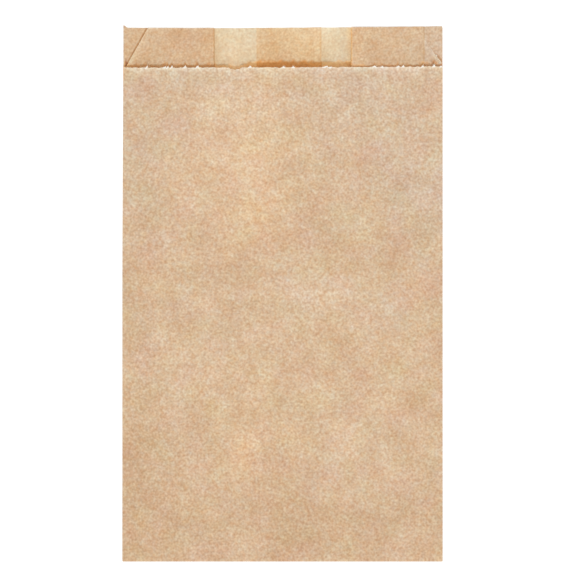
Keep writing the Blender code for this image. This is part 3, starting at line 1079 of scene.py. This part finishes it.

# %% Tints of the lines
# the crease line: darker from pressed fibres and from painted shade
CREASE_PRESS_AND_SHADE = (0.93, 0.84, 0.72, 1.0)
# painted light: the right crease's line and the back beside it are made paler
RIGHT_CREASE_PAINTED_LIGHT = (1.16, 1.06, 0.86, 1.0)
RIGHT_PAINTED_LIGHT = (1.14, 1.12, 1.05, 1.0)
SLANT_SHADOW_TINT = (0.76, 0.60, 0.46, 1.0)
CREASE_SHADE_TINT = (0.975, 0.925, 0.87, 1.0)
SEAM_PALE = (1.03, 1.07, 1.11, 1.0)
elsewhere = 1 - kraft.smooth(bag_x_mm, 28.0, 30.0) * (1 - kraft.smooth(bag_x_mm, 36.0, 38.0))
crease_press_shade_and_light = kraft.tint(elsewhere, RIGHT_CREASE_PAINTED_LIGHT, CREASE_PRESS_AND_SHADE)
colour = kraft.dyed(colour, creases, crease_press_shade_and_light)
colour = kraft.dyed(colour, crease_painted_shade, CREASE_SHADE_TINT)
colour = kraft.dyed(colour, right_painted_light, RIGHT_PAINTED_LIGHT)
colour = kraft.dyed(colour, slant_painted_shadow, SLANT_SHADOW_TINT)
colour = kraft.dyed(colour, seam_pale, SEAM_PALE)
print("nodes with the lines:", len(kraft.tree.nodes))

# %% [markdown]
# ## The pale rims and the painted warm shade inside
#
# The saw-toothed cut leaves fluffed fibres, so the paper pales over the last few millimetres before it.
# Inside the mouth the opposite happens: what light there is has come through the front panel or from the
# paper around it, so the shaded strip behind the cut is painted a deep orange brown, and darker in the
# left corner. Each torn tip adds a painted dark spike of shadow to that shade.

# %% Pale rims
RIM_SHARES = (0.20, 0.36, 0.50)
RIM_FADE = 1.7  # millimetres from the front panel's cut
SLANT_FADE = 0.9  # and from the slanted cuts
edge_mm = kraft.measured("to_edge") * (1 / MM)
front_rim = kraft.math("EXPONENT", edge_mm * (-1 / RIM_FADE)) * open_face
on_upper = band(ply, 1.9, 2.1, 0.1)
near_slants = 1 - band(bag_x_mm, -58.0, 69.5, 1.5)
slant_rim = kraft.math("EXPONENT", edge_mm * (-1 / SLANT_FADE)) * on_upper * near_slants
colour = kraft.toned(colour, front_rim + slant_rim, RIM_SHARES)
print("nodes with the rims:", len(kraft.tree.nodes))

# %% Torn tips, paler with a painted highlight, and the painted shadow spikes behind them
# Torn fibres are paler, and the near white at the tips is also a painted highlight where they catch the
# light.
TORN_PALE_AND_HIGHLIGHT = (0.95, 0.91, 0.83, 1.0)
# painted shadow: the dark spike that a torn tip throws on the gusset
SPIKE_SHADOW_TINT = (0.66, 0.50, 0.36, 1.0)  # where a torn tip shades the gusset
tip_highlight_and_spike_shade = kraft.measured("torn")
colour = kraft.tint(kraft.smooth(tip_highlight_and_spike_shade, 0.10, 0.45) * open_face, colour, TORN_PALE_AND_HIGHLIGHT)
spike_shadow = kraft.math("MINIMUM", kraft.math("MAXIMUM", tip_highlight_and_spike_shade * gusset, 0.0), 1.0)
colour = kraft.dyed(colour, spike_shadow, SPIKE_SHADOW_TINT)
print("nodes with the torn tips:", len(kraft.tree.nodes))

# %% Painted warm shade inside
# Painted shade: where the front panel keeps the light off, the paper is multiplied by these colours, in the
# warm tone of light that came through paper; the corner colour darkens the hollow at the left corner.
PAINTED_SHADE_SEAM = (1.17, 0.85, 0.50, 1.0)
PAINTED_SHADE_SINGLE = (1.37, 1.13, 0.82, 1.0)
PAINTED_SHADE_NICK = (1.50, 1.35, 1.10, 1.0)
PAINTED_SHADE_GUSSET = (1.12, 0.90, 0.66, 1.0)
PAINTED_SHADE_CORNER = (0.69, 0.49, 0.38, 1.0)
PAINTED_SHADE_RIGHT = (1.08, 0.87, 0.69, 1.0)
facing_up = kraft.smooth(kraft.part(kraft.add("TexCoord", output="Normal"), 2), 0.0, 0.3)
shade_mm = kraft.measured("from_shade") * (1 / MM) + spots[1] + spots[2]
# the painted shade's mask: the strip behind the front panel's cut, on faces that look up
painted_shade_mask = (1 - kraft.smooth(shade_mm, -1.2, 0.7)) * (1 - open_face) * facing_up
painted_shade_mask = painted_shade_mask * kraft.smooth(bag_y_mm, MOUTH_Y / MM - 12.0, MOUTH_Y / MM - 4.0)
painted_shade_tint = kraft.tint(on_back, PAINTED_SHADE_GUSSET, PAINTED_SHADE_SINGLE)
under_nick = (1 - kraft.smooth(abs(bag_x_mm - NICK_CENTRE / MM), 2.5, 5.0)) * on_back
painted_shade_tint = kraft.tint(under_nick, painted_shade_tint, PAINTED_SHADE_NICK)
painted_shade_tint = kraft.tint(lapped, painted_shade_tint, PAINTED_SHADE_SEAM)
painted_shade_tint = kraft.tint(kraft.smooth(bag_x_mm, 65.8, 66.4), painted_shade_tint, PAINTED_SHADE_RIGHT)
painted_shade_tint = kraft.tint(on_lower * (1 - kraft.smooth(bag_x_mm, -72.0, -71.0)), painted_shade_tint, PAINTED_SHADE_CORNER)
colour = kraft.dyed(colour, painted_shade_mask, painted_shade_tint)
print("nodes with the warm inside:", len(kraft.tree.nodes))

# %% [markdown]
# A few hundredths of a millimetre of bump and a slightly varying roughness finish the face.

# %% Surface of the paper
RELIEF = 0.06 * MM
PAPER_ROUGHNESS = 0.82
relief = spots[1] * 0.6 + spots[2] * 0.4
bump = kraft.add("Bump", sockets={"Strength": 0.2, "Distance": RELIEF, "Height": relief})
roughness = PAPER_ROUGHNESS + spots[3] * 0.2
shader = kraft.add(
    "BsdfPrincipled",
    sockets={"Base Color": colour, "Roughness": roughness, "Normal": bump, "Specular IOR Level": 0.2},
)
kraft.add("OutputMaterial", sockets={"Surface": shader})
sheet.data.materials.append(kraft.owner)
print("kraft nodes:", len(kraft.tree.nodes))

# %% Rim and fibres
DARK_RIM = (0.80, 0.68, 0.52, 1.0)
PALE_RIM = (0.95, 0.90, 0.80, 1.0)
rim = Finish(bpy.data.materials.new("cut kraft edge"))
rim_tone = rim.noise(rim.in_mm(rim.add("TexCoord", output="Object")), 2.0, detail=2.0)
rim_colour = rim.tint(rim_tone, DARK_RIM, PALE_RIM)
rim_shader = rim.add("BsdfPrincipled", sockets={"Base Color": rim_colour, "Roughness": 0.9})
rim.add("OutputMaterial", sockets={"Surface": rim_shader})
sheet.data.materials.append(rim.owner)
fibres.data.materials.append(rim.owner)
print("materials:", [material.name for material in sheet.data.materials])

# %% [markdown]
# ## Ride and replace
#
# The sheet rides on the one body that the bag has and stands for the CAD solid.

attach(sheet, "root")
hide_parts("paper_bag")
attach(fibres, "root")
print("declared a sheet of, mm:", round(ROUND_THE_TUBE / MM, 1), "by", round(BLANK_LENGTH / MM, 1))

# %% [markdown]
# ## Light and floor
#
# The photograph's light comes from beyond the bottom of the picture and a little from the right: the front
# panel throws a soft brown shadow up onto the lip. A sun seen as wide as a soft box gives that, and an
# even white world fills the rest. The floor shows pure white to the camera and keeps the bag's shadow.

# %% World
FILL = 0.70
WARM_WHITE = (1.06, 1.0, 0.93, 1.0)
room = Finish(bpy.data.worlds.new("white_room"))
fill_light = room.add("Background", sockets={"Color": WARM_WHITE, "Strength": FILL})
backdrop = room.add("Background", sockets={"Color": WHITE, "Strength": 1.0})
to_camera = room.add("LightPath", output="Is Camera Ray")
either = room.add("MixShader", sockets={0: to_camera, 1: fill_light, 2: backdrop})
room.add("OutputWorld", sockets={"Surface": either})
bpy.context.scene.world = room.owner
print("fill light:", FILL)

# %% Lamp
SUN_HEIGHT = math.radians(58)
SUN_TURN = math.radians(4)  # towards the right of the picture
SUN_WIDTH = math.radians(10)
SUN_SHARE = 0.30  # of the light on the floor
SUN_COLOUR = (0.87, 1.0, 1.14)
sun_data = bpy.data.lights.new("soft_box", "SUN")
sun_data.energy = SUN_SHARE * math.pi / math.sin(SUN_HEIGHT)
sun_data.angle = SUN_WIDTH
sun_data.color = SUN_COLOUR
sun = bpy.data.objects.new("soft_box", sun_data)
towards_right = math.sin(SUN_TURN) * math.cos(SUN_HEIGHT)
towards_bottom = math.cos(SUN_TURN) * math.cos(SUN_HEIGHT)
towards_lamp = Vector((towards_right, -towards_bottom, math.sin(SUN_HEIGHT)))
sun.rotation_mode = "QUATERNION"
sun.rotation_quaternion = towards_lamp.to_track_quat("Z", "Y")
sun.location = towards_lamp
bpy.context.scene.collection.objects.link(sun)
print("sun strength:", round(sun_data.energy, 2))

# %% Floor
FLOOR_HALF = 4.0
FLOOR_GAP = 0.1 * MM  # under the bag
floor_mesh = bpy.data.meshes.new("floor")
floor_bm = bmesh.new()
bmesh.ops.create_grid(floor_bm, x_segments=1, y_segments=1, size=FLOOR_HALF)
floor_bm.to_mesh(floor_mesh)
floor_bm.free()
floor = bpy.data.objects.new("floor", floor_mesh)
floor.location.z = -FLOOR_GAP
bpy.context.scene.collection.objects.link(floor)
print("floor width, m:", 2 * FLOOR_HALF)

# %% White of the floor
FLOOR_GREY = (0.80, 0.80, 0.80, 1.0)
FLOOR_GLOW = 0.40  # lifts the lit floor to white
table = Finish(bpy.data.materials.new("white table"))
surface = table.add("BsdfDiffuse", sockets={"Color": FLOOR_GREY})
glow = table.add("Emission", sockets={"Color": WHITE, "Strength": FLOOR_GLOW})
shown = table.add("LightPath", output="Is Camera Ray")
for ray in ("Is Glossy Ray", "Is Transmission Ray"):
    shown = table.math("MAXIMUM", shown, table.add("LightPath", output=ray))
glowing = table.add("AddShader", sockets={0: surface, 1: glow})
blended = table.add("MixShader", sockets={0: shown, 1: surface, 2: glowing})
table.add("OutputMaterial", sockets={"Surface": blended})
floor.data.materials.append(table.owner)
print("floor nodes:", len(table.tree.nodes))

# %% [markdown]
# ## Finish
#
# The picture uses the Standard view, which shows colours as written.

# %% Finish the scene
bpy.context.scene.view_settings.view_transform = "Standard"
